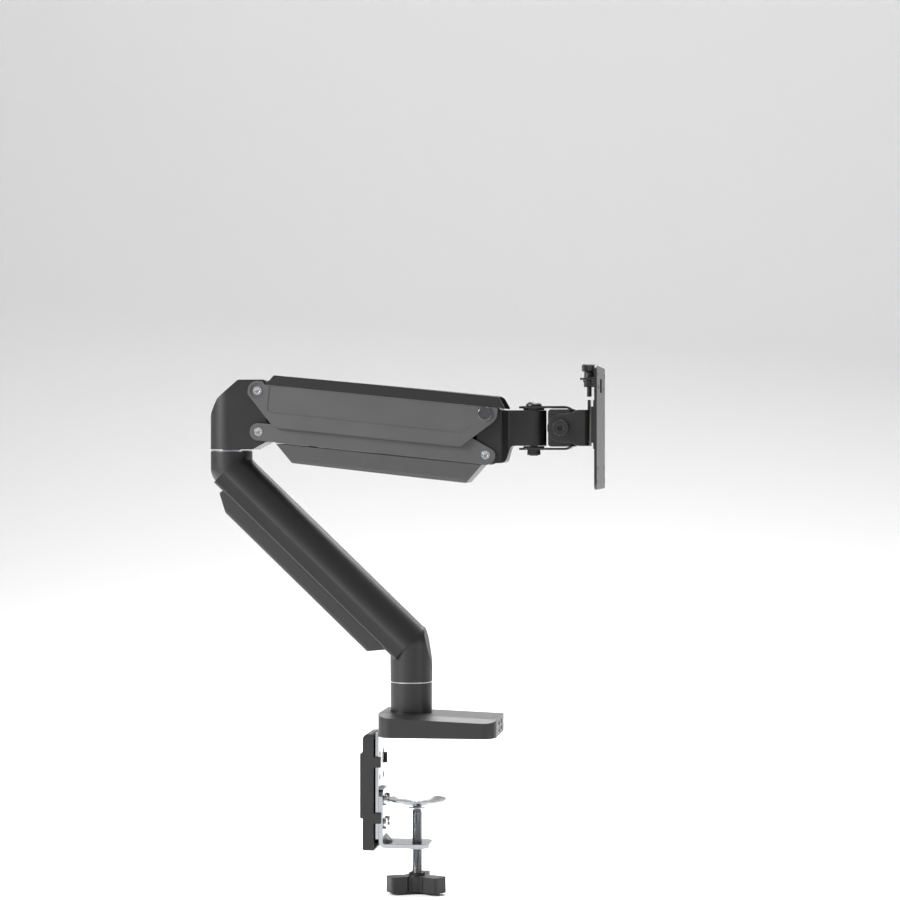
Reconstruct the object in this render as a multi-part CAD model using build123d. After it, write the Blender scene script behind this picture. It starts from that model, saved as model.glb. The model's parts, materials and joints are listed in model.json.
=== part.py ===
"""A gas-spring monitor arm with a desk clamp, in millimetres.

The origin is on the desk surface, on the axis of the column.
+X runs towards the screen at rest, +Z is up and -Y is the near side.
"""

import os
from math import atan2, cos, degrees, hypot, radians, sin, tan

from build123d import *

# ---- driving dimensions -------------------------------------------------
RUN_FIT = 0.05  # radial clearance of every shaft that turns or slides
SEAT_GAP = 0.3  # gap between faces that turn past each other

BASE_REAR = -27.0
BASE_FRONT = 85.0
BASE_WIDTH = 90.0
BASE_REAR_HEIGHT = 22.5
BASE_FRONT_HEIGHT = 17.8
BASE_CORNER = 13.0
BASE_WALL = 2.5
PAD_THICK = 1.5
PLATE_THICK = 4.0

COLUMN_RADIUS = 19.75
COLUMN_TOP = 49.2
RING_THICK = 1.2
SPINDLE_RADIUS = 10.0
BUSH_WALL = 2.0

BRACKET_WIDTH = 41.0
BRACKET_THICK = 3.0
BRACKET_X = -31.5
BRACKET_BOTTOM = -98.0
LEG_THICK = 4.0
LEG_TOP = -51.0
FOOT_BOTTOM = -106.4
FOOT_END = 19.0
SCREW_X = 5.5
SCREW_RADIUS = 5.0
SCREW_TOP = -71.5
DISC_RADIUS = 28.0
DISC_TOP = -61.0
KNOB_TOP = -134.0
KNOB_HEIGHT = 15.0
KNOB_RADIUS = 29.0

ARM_RADIUS = 20.0
ARM_BOTTOM_BEND = 86.0
ARM_TOP_BEND = 253.0
ELBOW_X = -174.0
ARM_WALL = 4.0
ARM_TOP = ARM_TOP_BEND + 15.6
COVER_DEPTH = 14.0

HUB_TOP = ARM_TOP + 68.4
HUB_HALF_WIDTH = 20.5
HUB_FRONT = ELBOW_X + 37.0
PIVOT_X = ELBOW_X + 30.5
PIVOT_Z = ARM_TOP + 57.7
PIVOT_SPACING = 38.9
LINK_LENGTH = 218.0
LINK_DROP = 5.8  # degrees below level at rest
PIN_RADIUS = 4.0
LOWER_WALL = 2.5
UPPER_WALL = 3.3
LINK_GAP = 0.5
SPRING_SEAT = 20.0  # below the upper rear pivot
SPRING_PIN_RADIUS = 3.5
EYE_BORE = 6.3
EYE_RADIUS = 9.3
CYLINDER_RADIUS = 8.5
ROD_RADIUS = 4.0

BARREL_REACH = 43.6  # pan axis ahead of the front pivots
BARREL_RADIUS = 12.0
BARREL_HEIGHT = 33.5
BRACKET_SHEET = 2.0
PAN_BOLT_RADIUS = 4.0
TILT_REACH = 27.5  # tilt axis ahead of the pan axis
EAR_HALF_WIDTH = 18.5
TILT_BOLT_RADIUS = 4.0
TILT_WEB_REACH = 24.0  # tilt bracket's web ahead of the tilt axis
VESA_SIZE = 115.0
VESA_THICK = 2.5
VESA_REACH = 33.5
THUMB_REACH = 25.0
BORE_LOW = -500.0  # bores cut right through run between these heights
BORE_HIGH = 900.0

# ---- drawing helpers ----------------------------------------------------


def block(x0, x1, y0, y1, z0, z1):
    """A box between two corners."""
    return Pos((x0 + x1) / 2, (y0 + y1) / 2, (z0 + z1) / 2) * Box(x1 - x0, y1 - y0, z1 - z0)


def post(radius, z0, z1, x=0.0, y=0.0):
    """A round bar along Z."""
    return Pos(x, y, (z0 + z1) / 2) * Cylinder(radius, z1 - z0)


def crossbar(radius, x, z, y0, y1):
    """A round bar along Y."""
    return Pos(x, (y0 + y1) / 2, z) * Rot(90, 0, 0) * Cylinder(radius, y1 - y0)


def shaft(radius, x0, x1, y, z):
    """A round bar along X."""
    return Pos((x0 + x1) / 2, y, z) * Rot(0, 90, 0) * Cylinder(radius, x1 - x0)


def outline(corners):
    """A closed face through (across, up, radius) corners."""
    count = len(corners)
    turns = []
    for index, (across, up, radius) in enumerate(corners):
        here = Vector(across, up)
        back = (Vector(*corners[index - 1][:2]) - here).normalized()
        on = (Vector(*corners[(index + 1) % count][:2]) - here).normalized()
        half = radians(back.get_angle(on)) / 2
        reach = radius / tan(half)
        inward = (back + on).normalized() * (radius / sin(half) - radius)
        turns.append((here + back * reach, here + inward, here + on * reach, radius))
    edges = []
    for index, (start, middle, end, radius) in enumerate(turns):
        if radius > 0:
            edges.append(ThreePointArc(start, middle, end))
        following = turns[(index + 1) % count][0]
        if (following - end).length > 1e-6:
            edges.append(Line(end, following))
    return make_face(Wire(edges))


def along_y(face, y0, y1):
    """A face drawn as X across and Z up, thick from y0 to y1."""
    return extrude(Plane.XZ.offset(-y1) * face, y1 - y0)


def along_x(face, x0, x1):
    """A face drawn as Y across and Z up, thick from x0 to x1."""
    return extrude(Plane.YZ.offset(x0) * face, x1 - x0)


def along_z(face, z0, z1):
    """A face drawn in plan, thick from z0 to z1."""
    return extrude(Plane.XY.offset(z0) * face, z1 - z0)


def rectangle(across0, across1, up0, up1, radius):
    """A rectangle face with equal corner radii."""
    return outline(
        [(across0, up0, radius), (across1, up0, radius), (across1, up1, radius), (across0, up1, radius)]
    )


def both_sides(part):
    """The part and its mirror image across the middle plane."""
    return part + mirror(part, Plane.XZ)


def hexagon(flats, height):
    """A hexagonal bar along Z with a given width across flats, centred."""
    return extrude(RegularPolygon(flats / 2, 6, major_radius=False), height / 2, both=True)


def save(name, *parts):
    """Writes one node, a single solid or a group of separate solids."""
    solids = [solid for part in parts for solid in part.solids()]
    target = solids[0] if len(solids) == 1 else Compound(solids)
    export_step(target, os.path.join("parts", name + ".step"))


os.makedirs("parts", exist_ok=True)

# ---- base ---------------------------------------------------------------
BASE_HALF = BASE_WIDTH / 2
PLATE_BOTTOM = PAD_THICK + BRACKET_THICK
PLATE_TOP = PLATE_BOTTOM + PLATE_THICK
BASE_SLOPE = (BASE_REAR_HEIGHT - BASE_FRONT_HEIGHT) / (BASE_FRONT - BASE_REAR)


def base_top(x):
    """Height of the sloping top of the base."""
    return BASE_REAR_HEIGHT - BASE_SLOPE * (x - BASE_REAR)


def base_plan(inset):
    """The plan of the base, drawn in by an inset."""
    return rectangle(
        BASE_REAR + inset,
        BASE_FRONT - inset,
        inset - BASE_HALF,
        BASE_HALF - inset,
        max(BASE_CORNER - inset, 1.0),
    )


def base_wedge(drop, inset):
    """The space under the sloping top, lowered by a drop."""
    side = outline(
        [
            (BASE_REAR - 5, -1, 0),
            (BASE_FRONT + 5, -1, 0),
            (BASE_FRONT + 5, base_top(BASE_FRONT + 5) - drop, 0),
            (BASE_REAR - 5, base_top(BASE_REAR - 5) - drop, 0),
        ]
    )
    half = BASE_HALF - inset
    return along_y(side, -half, half)


BEVEL_RUN = 13.0
BEVEL_DROP = 3.5
BEVEL_ANGLE = degrees(atan2(BEVEL_DROP, BEVEL_RUN))


def base_bevel(side):
    """The wedge cut off one long top edge."""
    tool = Box(200, 60, 30)
    tilt = Pos(0, 0, 15) * tool
    place = Pos(0, side * (BASE_HALF - BEVEL_RUN), base_top(0)) * Rot(0, degrees(atan2(BASE_SLOPE, 1)), 0)
    return place * Rot(-side * BEVEL_ANGLE, 0, 0) * Pos(40, side * 29.99, 0) * tilt


JACK_RADIUS = 1.75
PORT_WIDTH = 13.2
PORT_HEIGHT = 5.8
PORT_Y = 10.5
PORT_Z = 6.3
JACK_Z = 12.6
JACK_WALL = 0.85
USB_DEPTH = 14.0
GLAND_Y = 27.0
GLAND_Z = 13.8
GLAND_RADIUS = 4.0

shell = along_z(base_plan(0), PAD_THICK * 0.5, 30) & base_wedge(0, 0)
shell = shell - base_bevel(1) - base_bevel(-1)
hollow = along_z(base_plan(BASE_WALL), -2, 30) & base_wedge(BASE_WALL, BASE_WALL)
hollow = hollow - Pos(0, 0, -BASE_WALL) * base_bevel(1) - Pos(0, 0, -BASE_WALL) * base_bevel(-1)
housing = shell - hollow
housing = housing - post(COLUMN_RADIUS + SEAT_GAP, PLATE_TOP, 40)
housing = housing - block(
    BASE_REAR - 1,
    BASE_REAR + BASE_WALL + 1,
    -BRACKET_WIDTH / 2 - SEAT_GAP,
    BRACKET_WIDTH / 2 + SEAT_GAP,
    -1,
    PLATE_BOTTOM,
)
for side in (-1, 1):
    port_hole = block(
        BASE_FRONT - 5,
        BASE_FRONT + 1,
        side * PORT_Y - PORT_WIDTH / 2,
        side * PORT_Y + PORT_WIDTH / 2,
        PORT_Z - PORT_HEIGHT / 2,
        PORT_Z + PORT_HEIGHT / 2,
    )
    housing = housing - port_hole
    housing = housing - shaft(JACK_RADIUS + JACK_WALL, BASE_FRONT - 5, BASE_FRONT + 1, side * PORT_Y, JACK_Z)
housing = housing - shaft(GLAND_RADIUS, BASE_REAR - 1, BASE_REAR + 5, GLAND_Y, GLAND_Z)
save("base_housing", housing)

FLANGE_RADIUS = 30.0
FLANGE_TOP = PLATE_TOP + 4.0
COLUMN_SCREW_RING = 26.5
COLUMN_SCREW_RADIUS = 2.5
BRACKET_TONGUE = 15.0
RETAINER_ROOM = 6.0
BUSH_RADIUS = SPINDLE_RADIUS + RUN_FIT + BUSH_WALL


def around_column(part):
    """Four copies of a part set round the column, clear of the bracket."""
    return [Rot(0, 0, turn) * Pos(COLUMN_SCREW_RING, 0, 0) * part for turn in (72, 108, 252, 288)]


pad = along_z(base_plan(BASE_WALL + 0.2), 0, PAD_THICK)
pad = pad - block(
    BASE_REAR, BASE_REAR + 4, -BRACKET_WIDTH / 2 - 1, BRACKET_WIDTH / 2 + 1, -1, PAD_THICK + 1
)
save("base_pad", pad)

plate = along_z(base_plan(BASE_WALL + 0.3), PAD_THICK, PLATE_TOP)
plate = plate - block(BASE_REAR, BRACKET_TONGUE, -BRACKET_WIDTH / 2, BRACKET_WIDTH / 2, 0, PLATE_BOTTOM)
plate = plate - block(BASE_FRONT - 18, BASE_FRONT, -25, 25, 0, PLATE_TOP + 1)
plate = plate - post(9, 0, 20)
for hole in around_column(post(COLUMN_SCREW_RADIUS, 0, 20)):
    plate = plate - hole
for hole in around_column(post(4.75, 0, PLATE_BOTTOM + 1.5)):
    plate = plate - hole
for side in (-1, 1):
    for x in (-9.0, 9.0):
        plate = plate - post(2.0, 0, 20, x, side * 8.5 + side * 6)
save("base_plate", plate)

column = post(COLUMN_RADIUS, PLATE_TOP, COLUMN_TOP) + post(FLANGE_RADIUS, PLATE_TOP, FLANGE_TOP)
column = column - block(-40, BASE_REAR + BASE_WALL + 0.5, -40, 40, 0, FLANGE_TOP + 1)
column = column - post(BUSH_RADIUS, PLATE_TOP - 1, COLUMN_TOP + 1)
column = column - post(BUSH_RADIUS + 2.5, PLATE_TOP - 1, PLATE_TOP + RETAINER_ROOM)
for hole in around_column(post(COLUMN_SCREW_RADIUS, 0, 20)):
    column = column - hole
save("column", column)

screw = post(4.5, PAD_THICK + 0.2, PLATE_BOTTOM + 1.5) + post(COLUMN_SCREW_RADIUS, PLATE_BOTTOM, FLANGE_TOP)
save("column_screws", *around_column(screw))

bush = post(BUSH_RADIUS, PLATE_TOP + RETAINER_ROOM, COLUMN_TOP) - post(SPINDLE_RADIUS + RUN_FIT, 0, 60)
save("column_bush", bush)

ring = post(COLUMN_RADIUS - 0.4, COLUMN_TOP, COLUMN_TOP + RING_THICK - 0.2)
save("column_ring", ring - post(SPINDLE_RADIUS + RUN_FIT, 0, 60))

# ---- ports, board and gland ---------------------------------------------
ports = []
jacks = []
for side in (-1, 1):
    y = side * PORT_Y
    z = PORT_Z
    half_wide = PORT_WIDTH / 2
    half_high = PORT_HEIGHT / 2
    case = block(BASE_FRONT - USB_DEPTH, BASE_FRONT - 0.3, y - half_wide, y + half_wide, z - half_high, z + half_high)
    case = case - block(
        BASE_FRONT - USB_DEPTH + 1, BASE_FRONT, y - half_wide + 0.5, y + half_wide - 0.5, z - half_high + 0.5,
        z + half_high - 0.5,
    )
    tongue = block(BASE_FRONT - USB_DEPTH + 0.5, BASE_FRONT - 1.5, y - 5.5, y + 5.5, z + 0.4, z + 2.0)
    ports.append(case + tongue)
    jack = shaft(JACK_RADIUS + JACK_WALL, BASE_FRONT - 9, BASE_FRONT + 0.3, y, JACK_Z)
    jacks.append(jack - shaft(JACK_RADIUS, BASE_FRONT - 8, BASE_FRONT + 2, y, JACK_Z))
save("usb_ports", *ports)
save("audio_jacks", *jacks)
board_top = PORT_Z - PORT_HEIGHT / 2
save("usb_board", block(BASE_FRONT - 17, BASE_FRONT - BASE_WALL - 0.6, -24, 24, board_top - 1.6, board_top))

gland = shaft(GLAND_RADIUS, BASE_REAR - 0.8, BASE_REAR + 6, GLAND_Y, GLAND_Z)
gland = gland + shaft(GLAND_RADIUS + 1.2, BASE_REAR - 2.0, BASE_REAR, GLAND_Y, GLAND_Z)
gland = gland + shaft(GLAND_RADIUS + 0.8, BASE_REAR + BASE_WALL, BASE_REAR + 4.5, GLAND_Y, GLAND_Z)
save("cable_gland", gland - shaft(2.4, BASE_REAR - 4, BASE_REAR + 8, GLAND_Y, GLAND_Z))

# ---- clamp brackets -----------------------------------------------------
HALF_BRACKET = BRACKET_WIDTH / 2
INNER_X = BRACKET_X + BRACKET_THICK
upper = along_y(
    outline(
        [
            (BRACKET_X, BRACKET_BOTTOM, 0),
            (INNER_X, BRACKET_BOTTOM, 0),
            (INNER_X, PAD_THICK, 1.0),
            (BRACKET_TONGUE, PAD_THICK, 0),
            (BRACKET_TONGUE, PLATE_BOTTOM, 0),
            (BRACKET_X, PLATE_BOTTOM, 4.0),
        ]
    ),
    -HALF_BRACKET,
    HALF_BRACKET,
)
BRACKET_BOLT_Y = 12.0
BRACKET_BOLT_Z = (-62.0, -84.0)
BRACKET_BOLT_RADIUS = 3.0
bolt_spots = [(side * BRACKET_BOLT_Y, z) for side in (-1, 1) for z in BRACKET_BOLT_Z]
adjust_rows = [(side * BRACKET_BOLT_Y, z) for side in (-1, 1) for z in (-18.0, -40.0)]
for y, z in bolt_spots + adjust_rows:
    upper = upper - shaft(BRACKET_BOLT_RADIUS, BRACKET_X - 1, INNER_X + 1, y, z)
for side in (-1, 1):
    for x in (-9.0, 9.0):
        upper = upper - post(2.0, 0, 10, x, side * 8.5 + side * 6)
upper = upper - post(9, 0, 20)
save("upper_bracket", upper)

flange_screws = []
for side in (-1, 1):
    for x in (-9.0, 9.0):
        flange_screws.append(post(2.0, PAD_THICK, PLATE_TOP, x, side * 8.5 + side * 6))
save("bracket_screws", *flange_screws)

LEG_X = INNER_X + LEG_THICK
lower = along_y(
    outline(
        [
            (INNER_X, FOOT_BOTTOM, 6.0),
            (FOOT_END, FOOT_BOTTOM, 0),
            (FOOT_END, FOOT_BOTTOM + LEG_THICK, 0),
            (LEG_X, FOOT_BOTTOM + LEG_THICK, 2.0),
            (LEG_X, LEG_TOP, 0),
            (INNER_X, LEG_TOP, 0),
        ]
    ),
    -HALF_BRACKET,
    HALF_BRACKET,
)
leg_face = outline(
    [
        (-HALF_BRACKET, FOOT_BOTTOM - 1, 0),
        (HALF_BRACKET, FOOT_BOTTOM - 1, 0),
        (HALF_BRACKET, LEG_TOP, 7.0),
        (-HALF_BRACKET, LEG_TOP, 7.0),
    ]
)
foot_plan = outline(
    [
        (INNER_X - 1, -HALF_BRACKET, 0),
        (FOOT_END, -HALF_BRACKET, 9.0),
        (FOOT_END, HALF_BRACKET, 9.0),
        (INNER_X - 1, HALF_BRACKET, 0),
    ]
)
lower = lower & along_x(leg_face, INNER_X - 1, FOOT_END + 1) & along_z(foot_plan, FOOT_BOTTOM - 1, 0)
gusset = outline(
    [
        (LEG_X - 0.5, FOOT_BOTTOM + LEG_THICK - 0.5, 0),
        (LEG_X + 8, FOOT_BOTTOM + LEG_THICK - 0.5, 0),
        (LEG_X - 0.5, FOOT_BOTTOM + LEG_THICK + 8, 0),
    ]
)
lower = lower + along_y(gusset, -3.5, 3.5)
for y, z in bolt_spots:
    lower = lower - shaft(BRACKET_BOLT_RADIUS, INNER_X - 1, LEG_X + 1, y, z)
SCREW_BORE = SCREW_RADIUS + RUN_FIT
NUT_BOTTOM = FOOT_BOTTOM + LEG_THICK
lower = lower - post(8.0, FOOT_BOTTOM - 1, NUT_BOTTOM + 1, SCREW_X)
save("lower_bracket", lower)

nut = post(8.0, FOOT_BOTTOM, NUT_BOTTOM, SCREW_X) + post(10.0, FOOT_BOTTOM - 2.0, FOOT_BOTTOM, SCREW_X)
save("clamp_nut", nut - post(SCREW_BORE, -200, 0, SCREW_X))

bolts = []
for y, z in bolt_spots:
    stem = shaft(BRACKET_BOLT_RADIUS, BRACKET_X, LEG_X, y, z)
    head = shaft(5.0, LEG_X, LEG_X + 2.6, y, z) - Pos(LEG_X + 2.6, y, z) * Rot(0, 90, 0) * hexagon(3.0, 3.0)
    bolts.append(stem + head)
save("bracket_bolts", *bolts)

# ---- rear cover ---------------------------------------------------------
COVER_X = -43.4
COVER_HALF = 24.0
COVER_TOP = 2.0
COVER_BOTTOM = -109.0
COVER_INNER = BRACKET_X - 1.3
cover = along_y(
    outline(
        [
            (COVER_X, COVER_BOTTOM, 2.0),
            (COVER_INNER, COVER_BOTTOM, 0),
            (COVER_INNER, COVER_TOP, 3.0),
            (COVER_X, COVER_TOP, 6.0),
        ]
    ),
    -COVER_HALF,
    COVER_HALF,
)
cover = cover & along_x(rectangle(-COVER_HALF, COVER_HALF, COVER_BOTTOM, COVER_TOP, 4.0), -60, -20)
cover = cover + along_x(rectangle(-COVER_HALF + 3, COVER_HALF - 3, -79, -17, 3.0), COVER_X - 2.9, COVER_X + 1)
cover = cover - block(COVER_X + 2.0, COVER_INNER + 1, -COVER_HALF + 2, COVER_HALF - 2, COVER_BOTTOM + 2, COVER_TOP - 5)
for side in (-1, 1):
    for low, high in ((-30.0, -20.0), (-83.0, -73.0)):
        wide = sorted((side * (HALF_BRACKET + 0.2), side * COVER_HALF))
        cover = cover + block(COVER_INNER - 2, INNER_X + 2.2, wide[0], wide[1], low, high)
        lip = sorted((side * (HALF_BRACKET - 1.8), side * COVER_HALF))
        if high > LEG_TOP:
            cover = cover + block(INNER_X + 0.2, INNER_X + 2.2, lip[0], lip[1], low, high)
save("rear_cover", cover)

# ---- clamp pad, screw and knob ------------------------------------------
dish = outline(
    [
        (SCREW_RADIUS + 1.0, DISC_TOP - 9.0, 0),
        (DISC_RADIUS - 6, DISC_TOP - 4.6, 3.0),
        (DISC_RADIUS, DISC_TOP - 1.6, 0),
        (DISC_RADIUS, DISC_TOP, 0),
        (DISC_RADIUS - 7, DISC_TOP - 2.6, 3.0),
        (SCREW_RADIUS + 1.0, DISC_TOP - 6.4, 0),
    ]
)
disc = revolve(Plane.XZ * dish, Axis.Z)
collar = post(9.0, DISC_TOP - 9.0, DISC_TOP - 6.4) - post(3.0 + RUN_FIT, -100, 0)
save("pad_disc", Pos(SCREW_X, 0, 0) * (disc + collar))
rivet = post(6.0, DISC_TOP - 6.1, DISC_TOP - 4.6) + post(3.0, SCREW_TOP + 0.5, DISC_TOP - 6.0)
save("pad_rivet", Pos(SCREW_X, 0, 0) * (rivet - Pos(0, 0, DISC_TOP - 4.6) * hexagon(3.0, 2.0)))

bar = post(SCREW_RADIUS, KNOB_TOP - KNOB_HEIGHT + 4, SCREW_TOP, SCREW_X)
bar = chamfer(bar.edges().sort_by(Axis.Z)[-1], 1.0)
bar = bar - post(3.0 + RUN_FIT, SCREW_TOP - 6, SCREW_TOP + 1, SCREW_X)
save("clamp_screw", bar)

lobes = Circle(12)
for turn in (90, 210, 330):
    lobes = lobes + Rot(0, 0, turn) * Pos(12, 0) * Rectangle(18, 15)
    lobes = lobes + Rot(0, 0, turn) * Pos(KNOB_RADIUS - 9, 0) * RectangleRounded(18, 18, 3.5)
knob = extrude(Pos(SCREW_X, 0, KNOB_TOP - KNOB_HEIGHT) * lobes, KNOB_HEIGHT)
knob = knob & Pos(SCREW_X, 0, KNOB_TOP - 4) * Sphere(KNOB_RADIUS + 3) & knob
knob = knob - post(SCREW_RADIUS, KNOB_TOP - KNOB_HEIGHT + 4, KNOB_TOP + 1, SCREW_X)
grip = post(8.0, KNOB_TOP, KNOB_TOP + 2.5, SCREW_X) - post(SCREW_RADIUS, -200, 0, SCREW_X)
for turn in range(6):
    notch = Rot(0, 0, 60 * turn) * Pos(8, 0, 0) * Box(5, 3, 3)
    grip = grip - Pos(SCREW_X, 0, KNOB_TOP + 2.6) * notch
save("clamp_knob", knob + grip)

# ---- lower arm ----------------------------------------------------------
ARM_BOTTOM = COLUMN_TOP + RING_THICK + 0.1
ARM_RISE = ARM_TOP_BEND - ARM_BOTTOM_BEND
ARM_SLOPE = degrees(atan2(ARM_RISE, -ELBOW_X))
ARM_RUN = hypot(ARM_RISE, ELBOW_X)
ARM_UNDER = ARM_RADIUS - 0.5


def on_slope(part):
    """Places a part drawn along +X, with its upper side +Z, on the arm's slope."""
    return Pos(0, 0, ARM_BOTTOM_BEND) * Rot(0, 0, 180) * Rot(0, -ARM_SLOPE, 0) * part


ARM_CREASE = -7.5  # height of the crease where the rounded top meets the side walls
crown = ThreePointArc((ARM_RADIUS, ARM_CREASE), (0, ARM_UNDER), (-ARM_RADIUS, ARM_CREASE))
skirt = FilletPolyline(
    (-ARM_RADIUS, ARM_CREASE),
    (-ARM_RADIUS, -ARM_UNDER),
    (ARM_RADIUS, -ARM_UNDER),
    (ARM_RADIUS, ARM_CREASE),
    radius=3.0,
)
arm_section = make_face(Wire([crown, *skirt.edges()]))
core_half = ARM_RADIUS - ARM_WALL
core_section = outline(
    [
        (-core_half, -ARM_UNDER - 1, 0),
        (core_half, -ARM_UNDER - 1, 0),
        (core_half, ARM_UNDER - ARM_WALL, 14.0),
        (-core_half, ARM_UNDER - ARM_WALL, 14.0),
    ]
)
arm = on_slope(along_x(arm_section, 0, ARM_RUN))
arm = arm + post(ARM_RADIUS, ARM_BOTTOM, ARM_BOTTOM_BEND) + Pos(0, 0, ARM_BOTTOM_BEND) * Sphere(ARM_RADIUS)
arm = arm + post(ARM_RADIUS, ARM_TOP_BEND, ARM_TOP, ELBOW_X)
arm = arm + Pos(ELBOW_X, 0, ARM_TOP_BEND) * Sphere(ARM_RADIUS)
arm = arm & block(ELBOW_X - 40, 60, -30, 30, 0, ARM_TOP)
arm = arm - on_slope(along_x(core_section, 30, ARM_RUN - 30))
bend_cut = Pos(ARM_RADIUS, 0, ARM_BOTTOM_BEND - 19) * Rot(0, -12, 0) * Pos(20, 0, 30) * Box(40, 60, 60)
arm = arm - bend_cut
top_cut = Pos(ELBOW_X - 19, 0, ARM_TOP_BEND - 5) * Rot(0, 90 - 62, 0) * Pos(-20, 0, -20) * Box(40, 60, 40)
arm = arm - top_cut
SPINDLE_SOCKET = ARM_BOTTOM_BEND - 8.0
ELBOW_SOCKET = ARM_TOP - 28.6
ELBOW_SPINDLE_RADIUS = 9.0
arm = arm - post(SPINDLE_RADIUS, ARM_BOTTOM - 1, SPINDLE_SOCKET)
arm = arm - post(ELBOW_SPINDLE_RADIUS, ELBOW_SOCKET, ARM_TOP + 1, ELBOW_X)
COVER_START = 30.0
COVER_FINISH = ARM_RUN - 30.0
cover_screw_spots = (COVER_START + 12.0, COVER_FINISH - 12.0)
for s in cover_screw_spots:
    rib = block(s - 4, s + 4, -core_half, core_half, -ARM_UNDER + 2.2, -ARM_UNDER + 12)
    arm = arm + on_slope(rib - post(1.5, -40, 0, s))
save("lower_arm", arm)

lower_spindle = post(SPINDLE_RADIUS, PLATE_TOP + RETAINER_ROOM - 0.5, SPINDLE_SOCKET)
save("lower_spindle", lower_spindle)
retainer = post(BUSH_RADIUS + 1.0, PLATE_TOP + RETAINER_ROOM - 3.0, PLATE_TOP + RETAINER_ROOM - 0.5)
retainer = retainer + post(5.0, PLATE_TOP + 1.0, PLATE_TOP + RETAINER_ROOM - 3.0)
save("spindle_retainer", retainer - Pos(0, 0, PLATE_TOP + 1.0) * hexagon(4.0, 3.0))

COVER_HALF_WIDTH = 16.5
side_shape = outline(
    [
        (13.2, -ARM_UNDER - 0.2, 0),
        (25.0, -ARM_UNDER - COVER_DEPTH, 3.0),
        (213.0 / 241.2 * ARM_RUN, -ARM_UNDER - COVER_DEPTH, 2.0),
        (231.0 / 241.2 * ARM_RUN, -ARM_UNDER - 3.7, 2.0),
        (230.0 / 241.2 * ARM_RUN, -ARM_UNDER - 0.2, 0),
    ]
)
cover_section = outline(
    [
        (-COVER_HALF_WIDTH + 1.5, -ARM_UNDER - COVER_DEPTH, 4.0),
        (COVER_HALF_WIDTH - 1.5, -ARM_UNDER - COVER_DEPTH, 4.0),
        (COVER_HALF_WIDTH, -ARM_UNDER, 0),
        (-COVER_HALF_WIDTH, -ARM_UNDER, 0),
    ]
)
under = along_y(side_shape, -20, 20) & along_x(cover_section, 0, ARM_RUN)
inner_room = block(30, ARM_RUN - 34, -COVER_HALF_WIDTH + 4, COVER_HALF_WIDTH - 4, -ARM_UNDER - 11.5, -ARM_UNDER + 1)
under = under - inner_room
for s in cover_screw_spots:
    boss = post(4.0, -ARM_UNDER - 12.0, -ARM_UNDER + 2.2, s)
    under = under + boss - post(1.5, -ARM_UNDER - COVER_DEPTH - 1, 0, s)
    under = under - post(3.0, -ARM_UNDER - COVER_DEPTH - 1, -ARM_UNDER - 11.0, s)
under = on_slope(under)
under = under - Pos(0, 0, ARM_BOTTOM_BEND) * Sphere(ARM_RADIUS + 0.05)
under = under - post(ARM_RADIUS + 0.05, ARM_BOTTOM, ARM_BOTTOM_BEND)
under = under - Pos(ELBOW_X, 0, ARM_TOP_BEND) * Sphere(ARM_RADIUS + 0.05)
save("lower_arm_cover", under.solids().sort_by(SortBy.VOLUME)[-1])
cover_screws = []
for s in cover_screw_spots:
    stem = post(1.5, -ARM_UNDER - 12.0, -ARM_UNDER + 10.0, s)
    head = post(2.8, -ARM_UNDER - 13.2, -ARM_UNDER - 11.0, s)
    cover_screws.append(on_slope(stem + head - Pos(s, 0, -ARM_UNDER - 13.2) * hexagon(2.0, 2.0)))
save("lower_cover_screws", *cover_screws)

# ---- elbow --------------------------------------------------------------
HUB_BOTTOM = ARM_TOP + RING_THICK + 0.7
ELBOW_BUSH_RADIUS = 12.0
ELBOW_CAVITY = HUB_TOP - 17.0
BUSH_TOP = ELBOW_CAVITY - 10.0
LOWER_PIVOT_Z = PIVOT_Z - PIVOT_SPACING
SPRING_PIVOT_Z = PIVOT_Z - SPRING_SEAT

save(
    "elbow_ring",
    post(ARM_RADIUS - 0.7, ARM_TOP, ARM_TOP + RING_THICK, ELBOW_X)
    - post(ELBOW_SPINDLE_RADIUS, BORE_LOW, BORE_HIGH, ELBOW_X),
)
save("elbow_spindle", post(ELBOW_SPINDLE_RADIUS, ELBOW_SOCKET, BUSH_TOP + 4.0, ELBOW_X))
save(
    "elbow_bush",
    post(ELBOW_BUSH_RADIUS, HUB_BOTTOM + 0.3, BUSH_TOP, ELBOW_X)
    - post(ELBOW_SPINDLE_RADIUS + RUN_FIT, BORE_LOW, BORE_HIGH, ELBOW_X),
)
save(
    "elbow_clip",
    post(ELBOW_BUSH_RADIUS - 0.6, BUSH_TOP + 0.4, BUSH_TOP + 2.4, ELBOW_X)
    - post(ELBOW_SPINDLE_RADIUS, BORE_LOW, BORE_HIGH, ELBOW_X)
    - block(ELBOW_X, ELBOW_X + 20, -2, 2, BUSH_TOP, BUSH_TOP + 5),
)

hub_side = outline(
    [
        (ELBOW_X - ARM_RADIUS, HUB_BOTTOM, 0),
        (HUB_FRONT - 13, HUB_BOTTOM, 0),
        (HUB_FRONT, HUB_BOTTOM + 7, 1.0),
        (HUB_FRONT, HUB_TOP, 3.0),
        (ELBOW_X + 10, HUB_TOP, 4.0),
        (ELBOW_X - 11, HUB_TOP - 18, 6.0),
        (ELBOW_X - ARM_RADIUS, HUB_TOP - 35, 20.0),
    ]
)
hub_plan = Pos(ELBOW_X, 0) * Circle(ARM_RADIUS) + Pos((ELBOW_X + HUB_FRONT) / 2, 0) * Rectangle(
    HUB_FRONT - ELBOW_X, 2 * ARM_RADIUS
)
hub = along_y(hub_side, -30, 30) & along_z(hub_plan, HUB_BOTTOM, HUB_TOP)
hub = hub - post(ELBOW_BUSH_RADIUS, HUB_BOTTOM - 1, ELBOW_CAVITY, ELBOW_X)
EYE_ROOM = EYE_RADIUS + 3.2
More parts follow.
